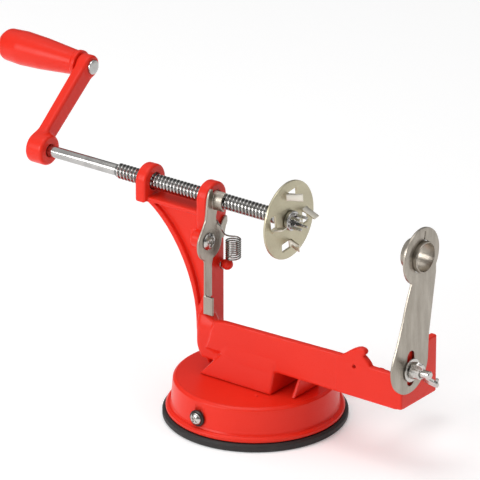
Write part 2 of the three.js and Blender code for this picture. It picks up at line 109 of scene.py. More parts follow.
def area_light(name, place, size, power, colour=(1.0, 1.0, 1.0)):
    data = bpy.data.lights.new(name, "AREA")
    data.shape = "RECTANGLE"
    data.size, data.size_y = size
    data.energy = power
    data.color = colour
    look_at(add(name, data), place, (0.0, 0.0, 0.08))


def world():
    """Soft light from above, with a dark band lower down for the metal to reflect.

    Each stop is the sine of the height above the horizon, and the brightness there.
    """
    background = bpy.data.worlds.new("studio")
    bpy.context.scene.world = background
    background.use_nodes = True
    tree = background.node_tree
    shade = tree.nodes["Background"]
    place = tree.nodes.new("ShaderNodeTexCoord")
    split = tree.nodes.new("ShaderNodeSeparateXYZ")
    ramp = tree.nodes.new("ShaderNodeValToRGB")
    tree.links.new(place.outputs["Generated"], split.inputs[0])
    tree.links.new(split.outputs["Z"], ramp.inputs[0])
    tree.links.new(ramp.outputs[0], shade.inputs["Color"])
    stops = [(0.0, 0.5), (0.1, 0.2), (0.34, 0.07), (0.5, 0.6), (0.72, 1.0)]
    ramp.color_ramp.elements[0].position = stops[0][0]
    ramp.color_ramp.elements[1].position = stops[-1][0]
    for position, value in stops[1:-1]:
        ramp.color_ramp.elements.new(position).color = (value, value, value, 1.0)
    for element, (position, value) in zip(ramp.color_ramp.elements, stops):
        element.color = (value, value, value, 1.0)
    shade.inputs["Strength"].default_value = 0.66


def floor():
    size = 12.0
    mesh = bpy.data.meshes.new("floor")
    corners = [(-size, -size, 0), (size, -size, 0), (size, size, 0), (-size, size, 0)]
    mesh.from_pydata(corners, [], [(0, 1, 2, 3)])
    obj = add("floor", mesh)
    look = bpy.data.materials.new("floor")
    look.use_nodes = True
    shader = look.node_tree.nodes["Principled BSDF"]
    shader.inputs["Base Color"].default_value = (0.93, 0.93, 0.93, 1.0)
    shader.inputs["Roughness"].default_value = 0.9
    shader.inputs["Specular IOR Level"].default_value = 0.1
    shader.inputs["Emission Color"].default_value = (1.0, 1.0, 1.0, 1.0)
    shader.inputs["Emission Strength"].default_value = 0.22
    mesh.materials.append(look)


camera()
world()
floor()
area_light("key", (-0.7, -1.7, 0.8), (1.2, 0.9), 19.0)
area_light("top", (-0.3, -0.2, 1.9), (1.2, 1.2), 9.5)
area_light("side", (1.7, 0.1, 0.9), (0.6, 1.1), 2.5)
bpy.context.scene.view_settings.view_transform = "Standard"


# ---- materials ----
NOISE_LEAST, NOISE_MOST = 0.3, 0.7  # what the noise usually stays between


def link(tree, source, socket):
    tree.links.new(source, socket)


def noise(tree, scale, detail=3.0, stretch=(1.0, 1.0, 1.0), roughness=0.5):
    place = tree.nodes.new("ShaderNodeTexCoord")
    mapping = tree.nodes.new("ShaderNodeMapping")
    mapping.inputs["Scale"].default_value = stretch
    texture = tree.nodes.new("ShaderNodeTexNoise")
    texture.inputs["Scale"].default_value = scale
    texture.inputs["Detail"].default_value = detail
    texture.inputs["Roughness"].default_value = roughness
    link(tree, place.outputs["Object"], mapping.inputs["Vector"])
    link(tree, mapping.outputs["Vector"], texture.inputs["Vector"])
    return texture.outputs[0]


def number_range(tree, source, start, end, low, high):
    """A number that goes from low to high as the source goes from start to end, and stays there."""
    node = tree.nodes.new("ShaderNodeMapRange")
    node.inputs["From Min"].default_value = start
    node.inputs["From Max"].default_value = end
    node.inputs["To Min"].default_value = low
    node.inputs["To Max"].default_value = high
    link(tree, source, node.inputs["Value"])
    return node.outputs[0]


def tint(tree, source, low, high):
    node = tree.nodes.new("ShaderNodeValToRGB")
    node.color_ramp.elements[0].position = NOISE_LEAST
    node.color_ramp.elements[1].position = NOISE_MOST
    node.color_ramp.elements[0].color = (*low, 1.0)
    node.color_ramp.elements[1].color = (*high, 1.0)
    link(tree, source, node.inputs[0])
    return node.outputs[0]


def bump(tree, source, strength, distance, shader):
    node = tree.nodes.new("ShaderNodeBump")
    node.inputs["Strength"].default_value = strength
    node.inputs["Distance"].default_value = distance
    link(tree, source, node.inputs["Height"])
    link(tree, node.outputs[0], shader.inputs["Normal"])


def material(name, slot, low, high, rough, metal, patch=60.0, stretch=(1.0, 1.0, 1.0), grain=1500.0,
             height=0.00002, depth=0.2, **constants):
    """Colour and roughness vary in patches of about 1/patch metres; grain is the surface's fine texture."""
    made = bpy.data.materials.new(name)
    made.use_nodes = True
    made["slot"] = slot
    tree = made.node_tree
    shader = tree.nodes["Principled BSDF"]
    shader.inputs["Metallic"].default_value = metal
    for socket, value in constants.items():
        shader.inputs[socket.replace("_", " ")].default_value = value
    patches = noise(tree, patch, 4.0, stretch, 0.6)
    fine = noise(tree, grain, 2.0, stretch)
    link(tree, tint(tree, patches, low, high), shader.inputs["Base Color"])
    link(tree, number_range(tree, fine, NOISE_LEAST, NOISE_MOST, *rough), shader.inputs["Roughness"])
    bump(tree, fine, depth, height, shader)
    return made


def vector_math(tree, operation, source, other=None):
    node = tree.nodes.new("ShaderNodeVectorMath")
    node.operation = operation
    link(tree, source, node.inputs[0])
    if other:
        node.inputs[1].default_value = other
    return node


def shade_grooves(look):
    """Painted shade: darkens the shaft's colour towards the bottom of the thread, by distance from the
    shaft's axis.
    """
    tree = look.node_tree
    shader = tree.nodes["Principled BSDF"]
    colour = shader.inputs["Base Color"].links[0].from_socket
    place = tree.nodes.new("ShaderNodeTexCoord").outputs["Object"]
    offset = vector_math(tree, "SUBTRACT", place, (0.0, 0.0, SHAFT_Z * MM)).outputs["Vector"]
    across = vector_math(tree, "MULTIPLY", offset, (0.0, 1.0, 1.0)).outputs["Vector"]
    radius = vector_math(tree, "LENGTH", across).outputs["Value"]
    depth = number_range(tree, radius, GROOVE_FLOOR_R * MM, GROOVE_CREST_R * MM, GROOVE_SHADE, 1.0)
    split = tree.nodes.new("ShaderNodeSeparateXYZ")
    link(tree, place, split.inputs[0])
    start, soft = THREAD_START_X * MM, 0.6 * MM
    plain = number_range(tree, split.outputs["X"], start - soft, start + soft, 1.0, 0.0)
    either = tree.nodes.new("ShaderNodeMath")
    either.operation = "MAXIMUM"
    link(tree, depth, either.inputs[0])
    link(tree, plain, either.inputs[1])
    darken = vector_math(tree, "SCALE", colour)
    link(tree, either.outputs[0], darken.inputs["Scale"])
    link(tree, darken.outputs["Vector"], shader.inputs["Base Color"])


RED = material("glossy_red", "red_plastic", (0.76, 0.022, 0.009), (0.83, 0.029, 0.013), (0.27, 0.32), 0.0,
               patch=9.0, grain=2600.0, height=0.000004, depth=0.1, Specular_IOR_Level=0.24)
RUBBER = material("cup_rubber", "rubber", (0.010, 0.008, 0.008), (0.020, 0.017, 0.016), (0.5, 0.7), 0.0,
                  patch=90.0, grain=2200.0, height=0.00006, depth=0.5)
STEEL = material("stamped_steel", "steel", (0.33, 0.295, 0.25), (0.45, 0.41, 0.355), (0.26, 0.44), 1.0,
                 patch=45.0, stretch=(6.0, 6.0, 1.0), grain=700.0, height=0.00003, Anisotropic=0.35)
DISC = material("disc_steel", "steel", (0.46, 0.42, 0.30), (0.58, 0.535, 0.39), (0.3, 0.48), 1.0,
                patch=35.0, stretch=(3.0, 1.0, 1.0), grain=900.0, height=0.00003)
TAB = material("disc_tab_steel", "steel", (0.66, 0.62, 0.54), (0.78, 0.74, 0.65), (0.28, 0.4), 1.0,
               patch=60.0, grain=900.0, height=0.00001, depth=0.1)
CHROME = material("bright_plate", "chrome", (0.42, 0.41, 0.40), (0.56, 0.55, 0.535), (0.08, 0.16), 1.0,
                  patch=130.0, grain=300.0, height=0.00001, depth=0.1)
WIRE = material("spring_wire", "chrome", (0.34, 0.325, 0.305), (0.46, 0.44, 0.41), (0.12, 0.22), 1.0,
                patch=130.0, grain=600.0, height=0.00001, depth=0.1)
SHAFT = material("plated_shaft", "chrome", (0.40, 0.39, 0.38), (0.54, 0.53, 0.515), (0.08, 0.16), 1.0,
                 patch=130.0, grain=300.0, height=0.00001, depth=0.1)
shade_grooves(SHAFT)
DARK = material("dark_metal", "dark", (0.028, 0.024, 0.022), (0.05, 0.044, 0.04), (0.3, 0.45), 0.7,
                patch=120.0)
BRIGHT = material("bright_steel", "chrome", (0.50, 0.485, 0.46), (0.68, 0.66, 0.63), (0.15, 0.3), 1.0,
                  patch=200.0, grain=2500.0, height=0.00004, depth=0.3)


# ---- meshes ----
def raw_mesh(name, points, faces):
    """A mesh from points in millimetres."""
    mesh = bpy.data.meshes.new(name)
    mesh.from_pydata((np.asarray(points, float) * MM).tolist(), [], [list(map(int, face)) for face in faces])
    return mesh


def make(name, points, faces, look, body, replaces=(), slot=None, crease=40.0):
    return finish_piece(name, raw_mesh(name, points, faces), look, body, replaces, crease)


def finish_piece(name, mesh, look, body, replaces, crease):
    """A piece that rides on body, or, with no body, one left attached to none."""
    mesh.validate()
    mesh.materials.clear()
    mesh.materials.append(look)
    mesh.shade_smooth()
    mesh.set_sharp_from_angle(angle=math.radians(crease))
    obj = add(name, mesh)
    if body:
        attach(obj, body)
    if replaces:
        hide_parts(*replaces)
    return obj


def rounded(points, radii, steps=5):
    """A closed outline with its corners rounded."""
    out = []
    count = len(points)
    for i, radius in zip(range(count), radii):
        corner = Vector(points[i])
        before, after = Vector(points[i - 1]) - corner, Vector(points[(i + 1) % count]) - corner
        if radius <= 0:
            out.append(tuple(corner))
            continue
        half = before.angle(after) / 2
        run = min(radius / math.tan(half), before.length * 0.48, after.length * 0.48)
        a, b = corner + before.normalized() * run, corner + after.normalized() * run
        for k in range(steps + 1):
            t = k / steps
            out.append(tuple(a * (1 - t) ** 2 + corner * 2 * t * (1 - t) + b * t ** 2))
    return out


def bezier(p0, p1, p2, p3, steps=12):
    out = []
    for k in range(steps + 1):
        t = k / steps
        weights = ((1 - t) ** 3, 3 * t * (1 - t) ** 2, 3 * t * t * (1 - t), t ** 3)
        out.append(tuple(sum(w * p[i] for w, p in zip(weights, (p0, p1, p2, p3))) for i in (0, 1)))
    return out


def arc(cu, cv, radius, start, end, steps=12):
    angles = [math.radians(start + (end - start) * k / steps) for k in range(steps + 1)]
    return [(cu + radius * math.cos(a), cv + radius * math.sin(a)) for a in angles]


def circle(cu, cv, radius, count):
    return arc(cu, cv, radius, 0, 360 * (count - 1) / count, count - 1)


# For each axis of a turned piece: two directions across it, then its own.
AXES = {
    "x": ((0, 1, 0), (0, 0, 1), (1, 0, 0)),
    "y": ((0, 0, 1), (1, 0, 0), (0, 1, 0)),
    "z": ((1, 0, 0), (0, 1, 0), (0, 0, 1)),
}


def turned_mesh(profile, axis, origin, segments=64):
    """Points and faces of a solid of revolution; profile is (radius, along), from the axis round to it."""
    u, v, w = (np.array(a, float) for a in AXES[axis])
    origin = np.array(origin, float)
    rings = []
    points = []
    for radius, along in profile:
        start = len(points)
        if radius < 1e-6:
            points.append(origin + w * along)
            rings.append([start] * segments)
            continue
        for k in range(segments):
            angle = 2 * math.pi * k / segments
            points.append(origin + w * along + radius * (math.cos(angle) * u + math.sin(angle) * v))
        rings.append(list(range(start, start + segments)))
    faces = []
    for ring, following in zip(rings, rings[1:]):
        for k in range(segments):
            n = (k + 1) % segments
            loop = [ring[k], ring[n], following[n], following[k]]
            faces.append([p for i, p in enumerate(loop) if p != loop[i - 1]])
    return points, faces


def turned(name, profile, axis, origin, look, body, replaces=(), segments=64, crease=35.0):
    points, faces = turned_mesh(profile, axis, origin, segments)
    return make(name, points, faces, look, body, replaces, crease=crease)


def plate(name, outline, holes, x0, x1, edge, look, body, replaces=()):
    """A flat plate across X from (y, z) outlines, with its edges eased by edge."""
    curve = bpy.data.curves.new(name, "CURVE")
    curve.dimensions = "2D"
    curve.fill_mode = "BOTH"
    curve.extrude = ((x1 - x0) / 2 - edge) * MM
    curve.bevel_depth = edge * MM
    curve.offset = -edge * MM
    curve.bevel_resolution = 2
    for points in (outline, *holes):
        spline = curve.splines.new("POLY")
        spline.points.add(len(points) - 1)
        spline.points.foreach_set("co", [c for u, v in points for c in (u * MM, v * MM, 0.0, 1.0)])
        spline.use_cyclic_u = True
    holder = add(name + "_outline", curve)
    bpy.context.view_layer.update()
    mesh = bpy.data.meshes.new_from_object(holder)
    bpy.data.objects.remove(holder)
    bpy.data.curves.remove(curve)
    turn = Matrix(((0, 0, 1, (x0 + x1) / 2 * MM), (1, 0, 0, 0), (0, 1, 0, 0), (0, 0, 0, 1)))
    mesh.transform(turn)
    tidy(mesh)
    mesh.name = name
    return finish_piece(name, mesh, look, body, replaces, 30.0)


def tidy(mesh):
    """Joins points that meet, and turns every face outwards."""
    shape = bmesh.new()
    shape.from_mesh(mesh)
    bmesh.ops.remove_doubles(shape, verts=shape.verts, dist=0.000002)
    bmesh.ops.recalc_face_normals(shape, faces=shape.faces)
    shape.to_mesh(mesh)
    shape.free()


def tube_faces(rings, sides):
    """The faces of a closed tube whose points come in rings, each of as many points as there are sides."""
    faces = []
    for i in range(rings - 1):
        for k in range(sides):
            n = (k + 1) % sides
            faces.append((i * sides + k, i * sides + n, (i + 1) * sides + n, (i + 1) * sides + k))
    faces.append(tuple(range(sides - 1, -1, -1)))
    faces.append(tuple(range((rings - 1) * sides, rings * sides)))
    return faces


def sweep_mesh(path, radius, sides=12):
    """Points and faces of a round wire along a path, with eased ends."""
    path = [Vector(p) for p in path]
    last = len(path) - 1
    tangents = [(path[min(i + 1, last)] - path[max(i - 1, 0)]).normalized() for i in range(last + 1)]
    side = tangents[0].orthogonal().normalized()
    points = []
    end_out, end_size = 0.5, 0.6
    stations = [(path[0] - tangents[0] * radius * end_out, end_size)] + [(p, 1.0) for p in path]
    stations.append((path[-1] + tangents[-1] * radius * end_out, end_size))
    directions = [tangents[0]] + tangents + [tangents[-1]]
    for (centre, size), tangent in zip(stations, directions):
        side = (side - tangent * side.dot(tangent)).normalized()
        other = tangent.cross(side)
        for k in range(sides):
            a = 2 * math.pi * k / sides
            points.append(centre + (side * math.cos(a) + other * math.sin(a)) * radius * size)
    return points, tube_faces(len(stations), sides)


# ---- distance fields: a solid is where the distance is below 0 ----
def join(a, b, fillet):
    """Both solids, with the corner between them filled by about fillet."""
    h = np.clip(0.5 + 0.5 * (b - a) / fillet, 0.0, 1.0)
    return b * (1 - h) + a * h - fillet * h * (1 - h)


def carve(a, b, fillet):
    return -join(-a, b, fillet)


def meet(a, b, fillet):
    return -join(-a, -b, fillet)


def polygon(u, v, points):
    nearest = 1e12
    inside = False
    for (au, av), (bu, bv) in zip(points, points[1:] + points[:1]):
        eu, ev = bu - au, bv - av
        t = np.clip(((u - au) * eu + (v - av) * ev) / (eu * eu + ev * ev), 0.0, 1.0)
        nearest = np.minimum(nearest, (u - au - t * eu) ** 2 + (v - av - t * ev) ** 2)
        if ev != 0:
            inside = inside ^ (((av > v) != (bv > v)) & (u < au + (v - av) * eu / ev))
    return np.where(inside, -1.0, 1.0) * np.sqrt(nearest)


def prism(flat, t, low, high, edge):
    """A flat field made thick, from low to high along t, with edges of radius edge."""
    a = flat + edge
    b = np.abs(t - (low + high) / 2) - (high - low) / 2 + edge
    return np.minimum(np.maximum(a, b), 0) + np.hypot(np.maximum(a, 0), np.maximum(b, 0)) - edge


def slab(u, v, u0, u1, v0, v1):
    a = np.abs(u - (u0 + u1) / 2) - (u1 - u0) / 2
    b = np.abs(v - (v0 + v1) / 2) - (v1 - v0) / 2
    return np.minimum(np.maximum(a, b), 0) + np.hypot(np.maximum(a, 0), np.maximum(b, 0))


def rod(u, v, cu, cv, radius):
    return np.hypot(u - cu, v - cv) - radius


def surface(name, field, low, high, cell, look, body, replaces=(), crease=50.0):
    """The piece whose surface is where field is 0, by surface nets."""
    counts = [int(math.ceil((b - a) / cell)) + 1 for a, b in zip(low, high)]
    x, y, z = (a + cell * np.arange(n) for a, n in zip(low, counts))
    values = np.broadcast_to(field(x[:, None, None], y[None, :, None], z[None, None, :]), counts)
    inside = (values < 0).astype(np.int8)
    cells = [n - 1 for n in counts]
    corners = [np.array(c) for c in np.ndindex(2, 2, 2)]
    total = sum(inside[c[0]:c[0] + cells[0], c[1]:c[1] + cells[1], c[2]:c[2] + cells[2]] for c in corners)
    mixed = (total > 0) & (total < 8)
    at = np.argwhere(mixed)
    index = np.full(cells, -1, int)
    index[mixed] = np.arange(len(at))
    points, hits = np.zeros((len(at), 3)), np.zeros(len(at))
    for start in corners:
        for step in np.eye(3, dtype=int)[start == 0]:
            a, b = values[tuple((at + start).T)], values[tuple((at + start + step).T)]
            crossing = (a < 0) != (b < 0)
            t = a[crossing] / (a[crossing] - b[crossing])
            points[crossing] += at[crossing] + start + t[:, None] * step
            hits[crossing] += 1
    points = np.array(low) + cell * points / hits[:, None]
    points = settle(points, field, cell)
    return make(name, points, net_faces(inside, index, cells), look, body, replaces, crease=crease)


def settle(points, field, cell):
    """Moves points along the field's slope onto the surface."""
    small, rounds, least_slope, longest_move = 0.02, 3, 0.25, 0.4 * cell
    for _ in range(rounds):
        value = field(*points.T)
        rises = [field(*(points + d).T) - field(*(points - d).T) for d in np.eye(3) * small]
        slope = np.stack(rises, 1) / (2 * small)
        move = -value[:, None] * slope / np.maximum((slope ** 2).sum(1), least_slope)[:, None]
        points = points + np.clip(move, -longest_move, longest_move)
    return points


def net_faces(inside, index, cells):
    """A face for each grid edge that the surface crosses, through the four cells round it."""
    faces = []
    for a in range(3):
        b, c = (a + 1) % 3, (a + 2) % 3
        change = np.argwhere(np.diff(inside, axis=a) != 0)
        keep = (change[:, b] > 0) & (change[:, b] < cells[b]) & (change[:, c] > 0) & (change[:, c] < cells[c])
        change = change[keep]
        outward = inside[tuple(change.T)] == 1
        corners = []
        for db, dc in ((1, 1), (0, 1), (0, 0), (1, 0)):
            cell_at = change.copy()
            cell_at[:, b] -= db
            cell_at[:, c] -= dc
            corners.append(index[tuple(cell_at.T)])
        quads = np.stack(corners, 1)
        quads[~outward] = quads[~outward, ::-1]
        faces.extend(quads.tolist())
    return faces


# ---- base ----
def base():
    cup = rounded([(0, 0.9), (40, 0.6), (47, 0.0), (54, 0.0), (55, 1.2), (55, 3.9), (53.9, 5.0), (43, 4.9),
                   (41, 2.4), (0, 2.4)], [0, 6, 3, 0.7, 0.7, 0.7, 0.7, 1, 1, 0])
    turned("suction_cup_skin", cup, "z", (0, 0, 0), RUBBER, "stand", ["suction_cup"], 128)
    shell = rounded([
        (46.9, 5.3), (52.9, 5.3), (53.0, 7.3), (51.7, 8.5), (50.4, 8.3), (49.9, 9.6), (48.7, 24.2),
        (47.0, 25.5), (46.2, 25.35), (0, 25.3), (0, 22.9), (46.9, 22.9)],
        [0.3, 0.6, 0.8, 0.6, 0.5, 0.6, 1.4, 0.5, 0.3, 0, 0, 1.2])
    points, faces = turned_mesh(shell + shell[:1], "z", (0, 0, 0), 160)
    housing = make("base_shell", points, faces, RED, "stand", ["base_housing"], crease=28.0)
    tidy(housing.data)
    drill(housing, "y", (AXLE_X, 0, AXLE_Z), 2.8, -60, 60)
    gate = rounded([(0, 25.1), (1.0, 25.1), (0.9, 25.7), (0.4, 26.0), (0, 26.0)], [0, 0, 0.2, 0.1, 0])
    turned("moulding_gate", gate, "z", (18.9, -24.1, 0), RED, "stand", segments=20)


def drill(obj, axis, origin, radius, low, high):
    """Cuts a round hole through a piece, from low to high along the axis."""
    outline = [(0, low), (radius, low), (radius, high), (0, high)]
    mesh = raw_mesh("drill", *turned_mesh(outline, axis, origin, 40))
    tidy(mesh)
    cutter = add("drill", mesh)
    modifier = obj.modifiers.new("drill", "BOOLEAN")
    modifier.operation = "DIFFERENCE"
    modifier.solver = "EXACT"
    modifier.object = cutter
    bpy.context.view_layer.update()
    result = bpy.data.meshes.new_from_object(obj.evaluated_get(bpy.context.evaluated_depsgraph_get()))
    obj.modifiers.clear()
    obj.data = result
    bpy.data.objects.remove(cutter)


def suction_lever():
    low, high, length, half = HOUSING_R + 2.6, HOUSING_R + 7.2, 38.0, 4.3

    def field(x, y, z):
        boss = prism(rod(x, z, AXLE_X, AXLE_Z, 5.8), y, low, high, 0.9)
        arm = slab(x, z, AXLE_X, AXLE_X + length, AXLE_Z - half, AXLE_Z + half)
        arm = np.maximum(arm, rod(x, z, AXLE_X + length / 2, AXLE_Z, length / 2))
        arm = prism(arm, y, low + 0.3, high, 0.9)
        dish = rod(x, z, AXLE_X + 24, AXLE_Z + 24, 21.5)
        body = join(boss, arm, 1.5)
        body = carve(body, prism(dish, y, high - 0.7, high + 5, 0.3), 0.8)
        return carve(body, prism(rod(x, z, AXLE_X, AXLE_Z, 2.8), y, low - 2, HOUSING_R + 5.3, 0.1), 0.2)

    surface("suction_lever_skin", field, (-12, low - 1, 7), (35, high + 1, 22), 0.45, RED, "suction_cam",
            ["suction_lever"])


def axle():
    y0, y1 = -HOUSING_R, HOUSING_R + 5
    place = (AXLE_X, 0, AXLE_Z)
    bar = rounded([(0, y0 - 0.2), (2.5, y0 - 0.2), (2.5, -3.9), (2, -3.9), (2, 3.9), (2.5, 3.9), (2.5, y1),
                   (0, y1)],
                  [0, 0.3, 0.2, 0, 0, 0.2, 0.4, 0])
    turned("axle_bar", bar, "y", place, CHROME, "suction_cam", ["cam_axle"], 32)
    washer = rounded([(1.6, y0 - 0.5), (5, y0 - 0.5), (5, y0 - 1.7), (4.2, y0 - 2.1), (1.6, y0 - 2.1),
                      (1.6, y0 - 0.5)], [0, 0.2, 0.4, 0.3, 0, 0])
    turned("axle_washer_skin", washer, "y", place, DARK, "suction_cam", ["axle_washer"], 48)
    head = (AXLE_X, y0 - 2.25, AXLE_Z)
    screw("axle_screw_head", head, (0, -1, 0), 3.7, 2.2, "suction_cam", "axle_screw", 0.3)


def screw(name, place, direction, radius, height, body, node, turn=0.0, shank=2.0, length=2.0):
    """A pan-head screw with a cross recess; place is the middle of the head's underside."""
    away = Vector(direction)
    side = away.orthogonal().normalized()
    axes = np.array([side, away.cross(side), away])
    origin = np.array(place, float)
    dome_r = radius * 1.3
    arm_reach, arm_half, floor_at, draft = radius * 0.58, radius * 0.15, height * 0.3, 0.28

    def field(x, y, z):
        d = [x - origin[0], y - origin[1], z - origin[2]]
        u, v, w = (sum(axes[i][j] * d[j] for j in range(3)) for i in range(3))
        r = np.hypot(u, v)
        dome = np.sqrt(r * r + (w + dome_r - height) ** 2) - dome_r
        head = meet(prism(r - radius, w, 0.0, height, 0.35), dome, 0.4)
        c, s = math.cos(turn), math.sin(turn)
        p, q = np.abs(u * c + v * s), np.abs(v * c - u * s)
        taper = (height - w) * draft
        cross = np.minimum(np.maximum(p - arm_reach + taper, q - arm_half),
                           np.maximum(q - arm_reach + taper, p - arm_half))
        head = carve(head, np.maximum(cross, floor_at - w), 0.15)
        return join(head, prism(r - shank, w, -length, 0.5, 0.2), 0.2)

    along = np.array(direction)
    across = (radius + 1) * (1 - np.abs(along))
    top, bottom = along * (height + 1), -along * (length + 1)
    low, high = origin - across + np.minimum(top, bottom), origin + across + np.maximum(top, bottom)
    surface(name, field, low, high, radius / 17.0, BRIGHT, body, [node])


# ---- frame; outlines are (x, z) ----
POST = ([(-28.6, 26.0), (-28.6, 122.2)] + bezier((-80, 122.2), (-60, 115), (-38, 82), (-38.2, 50))
        + bezier((-38.2, 50), (-38.2, 44), (-36.6, 39.6), (-33.5, 35))[1:])
POCKET = [(-32.0, 72.0), (-32.0, 119.6)] + bezier((-69.5, 119.6), (-56.5, 112.5), (-38.8, 90), (-36.4, 62))
BAR = ([(-22.6, 46.0), (-24.6, 41.6), (-20, 41.2), (-9, 41.4), (0, 39.4), (112, 39.4), (114, 61.0),
        (93.8, 61.0)]
       + bezier((93.8, 61), (92.6, 63.6), (90.6, 65.2), (88.4, 66.6), 5)[1:]
       + bezier((88.4, 66.6), (91.4, 68.2), (91.0, 71.6), (86.2, 71.4), 5)[1:]
       + bezier((86.2, 71.4), (81, 70.2), (77.6, 66.4), (73, 63.4), 6)[1:] + [(-12, 61.2), (-18.8, 60.0)])


def post_field(x, y, z):
    body = prism(polygon(x, z, POST), y, -POST_HALF_Y, POST_HALF_Y, 1.0)
    body = carve(body, prism(polygon(x, z, POCKET), np.abs(y), 4.8, 30.0, 0.5), 0.7)
    pad = prism(slab(x, z, -43.4, -30, 97.5, 109.0), y, -5.4, 1.0, 0.6)
    boss = prism(rod(y, z, PIVOT_Y, PIVOT_Z, 5.2), x, -36.6, -28.65, 0.8)
    body = join(join(body, pad, 0.6), boss, 1.2)
    lug = rod(y, z, 0, SHAFT_Z, LUG_R)
    rear = np.minimum(lug, slab(y, z, -LUG_R, LUG_R, 119.2, SHAFT_Z))
    neck = [(-LUG_R, 118), (-POST_HALF_Y, 104), (POST_HALF_Y, 104), (LUG_R, 118), (LUG_R, SHAFT_Z),
            (-LUG_R, SHAFT_Z)]
    front = np.minimum(lug, polygon(y, z, neck))
    body = join(body, prism(rear, x, -81.15, -73.65, 1.5), 1.2)
    body = join(body, prism(front, x, POST_FACE_X - 7.5, POST_FACE_X, 1.5), 1.2)
    peg = prism(rod(y, z, PEG_Y, PEG_Z, 2.3), x, -31, -23, 0.4)
    knob = np.sqrt((x + 23.6) ** 2 + (y - PEG_Y) ** 2 + (z - PEG_Z) ** 2) - 3.4
    return join(join(body, peg, 1.0), knob, 0.4)


def end_plate_field(x, y, z):
    corner = rounded([(70, BAR_FRONT_Y), (PLATE_OUT_X, BAR_FRONT_Y), (PLATE_OUT_X, PLATE_BACK_Y),
                      (PLATE_IN_X, PLATE_BACK_Y), (PLATE_IN_X, -12), (70, -12)], [0, 3.2, 1, 1, 1.5, 0])
    end = prism(polygon(x, y, corner), z, 39.8, 61.0, 0.9)
    face = [(BAR_FRONT_Y, 40.2), (13, 40.2), (PLATE_BACK_Y, 47), (PLATE_BACK_Y, 75.5), (BAR_FRONT_Y, 75.5)]
    return np.minimum(end, prism(polygon(y, z, face), x, PLATE_IN_X, PLATE_OUT_X, 0.9))


def foot_field(x, y, z):
    front = polygon(x, z, [(-27.6, 25.0), (25.2, 25.0), (25.8, 46), (-8.6, 46)])
    side = polygon(y, z, [(-19.6, 25.0), (17, 25.0), (15.6, 46), (-15.6, 46)])
    return meet(prism(front, y, -21, 18, 0.1), prism(side, x, -40, 40, 0.1), 1.8)


def column_field(x, y, z):
    """The foot of the post, where it widens into the bar and the pedestal."""
    plan = rounded([(-33.8, 7.6), (-33.8, -15.8), (-16, -15.8), (-16, -13), (-28.6, 0), (-28.6, 7.6)],
                   [1, 5.2, 0, 0, 0, 0])
    side = polygon(y, z, [(7.6, 33.6), (-15.8, 33.6), (-15.8, 54), (-12.4, 60.0), (-7.6, 63), (7.6, 48)])
    front = rounded([(-33.9, 70), (-33.9, 42), (-29.0, 33.4), (-14, 33.4), (-14, 56), (-28.6, 62),
                     (-28.6, 70)], [0, 7, 3, 0, 0, 2, 0])
    column = meet(prism(polygon(x, y, plan), z, 20, 80, 0.1), prism(side, x, -60, 20, 0.1), 3.0)
    return meet(column, prism(polygon(x, z, front), y, -30, 30, 0.1), 2.2)


def bar_field(x, y, z):
    wall = prism(polygon(x, z, BAR), y, BAR_FRONT_Y, BAR_FRONT_Y + 4, 0.9)
    shelf = prism(slab(x, y, -20, 113, -14.5, 10), z, 39.6, 42.6, 0.8)
    body = join(join(wall, end_plate_field(x, y, z), 0.6), shelf, 1.2)
    body = join(body, foot_field(x, y, z), 1.8)
    body = join(body, column_field(x, y, z), 1.4)
    rib = prism(polygon(y, z, [(-14.8, 25.8), (10, 25.8), (10, 41), (-5, 41)]), x, 37.0, 39.2, 0.5)
    body = join(body, rib, 0.7)
    ear = polygon(y, z, [(-14, 41), (-0.5, 41), (-0.5, 54), (-3.5, 56.5), (-14, 56.5)])
    for at in (PEEL_X - 11, PEEL_X + 8):
        body = join(body, prism(ear, x, at, at + 3, 0.5), 0.8)
    return body


def frame_field(x, y, z):
    body = join(post_field(x, y, z), bar_field(x, y, z), 2.2)
    body = carve(body, prism(rod(y, z, 0, SHAFT_Z, LUG_BORE_R), x, -95, -15, 0.1), 0.4)
    body = carve(body, prism(rod(y, z, PIVOT_Y, PIVOT_Z, 2.4), x, -36, -20, 0.1), 0.3)
    square = slab(y, z, BOLT_Y - 2.9, BOLT_Y + 2.9, BOLT_Z - 2.9, BOLT_Z + 2.9)
    body = carve(body, prism(square, x, 100, 125, 0.1), 0.3)
    body = carve(body, prism(rod(y, z, BOLT_Y, BOLT_Z, 5.1), x, 105, PLATE_IN_X, 0.1), 0.3)
    body = carve(body, prism(rod(y, z, PEEL_Y, PEEL_Z, 1.7), x, PEEL_X - 14, PEEL_X + 14, 0.1), 0.2)
    body = carve(body, prism(rod(x, z, 82.5, 58.6, 1.15), y, -20, -10, 0.1), 0.3)
    return np.maximum(body, FRAME_BOTTOM_Z - z)


def frame_skin():
    cell = 0.7
    surface("frame_skin", frame_field, (-83, -19.5, 24.5), (118, 21, 142), cell, RED, "stand", ["frame"])


# ---- feed shaft, disc and crank ----
def shaft_ring(x, radii):
    """A ring of points about the feed shaft's axis, one for each radius."""
    angles = [2 * math.pi * k / len(radii) for k in range(len(radii))]
    return [(x, r * math.cos(a), SHAFT_Z + r * math.sin(a)) for r, a in zip(radii, angles)]


def thread_radius(x, turn):
    """The thread's radius at x, a part of a turn round the shaft; it runs out at both ends."""
    flank, root_width, root_r, rise, root_lift, runout = 2.6, 0.85, 3.45, 1.2, 0.1, 1.5
    phase = ((x - THREAD_START_X) / THREAD_PITCH - turn) % 1.0
    crest = min(max(flank * (1 - abs(2 * phase - 1)) - root_width, 0.0), 1.0)
    fade = min((x - THREAD_START_X) / runout, (THREAD_STOP_X - x) / runout, 1.0)
    return root_r + rise * crest * max(fade, 0.0) + root_lift * (1 - crest)


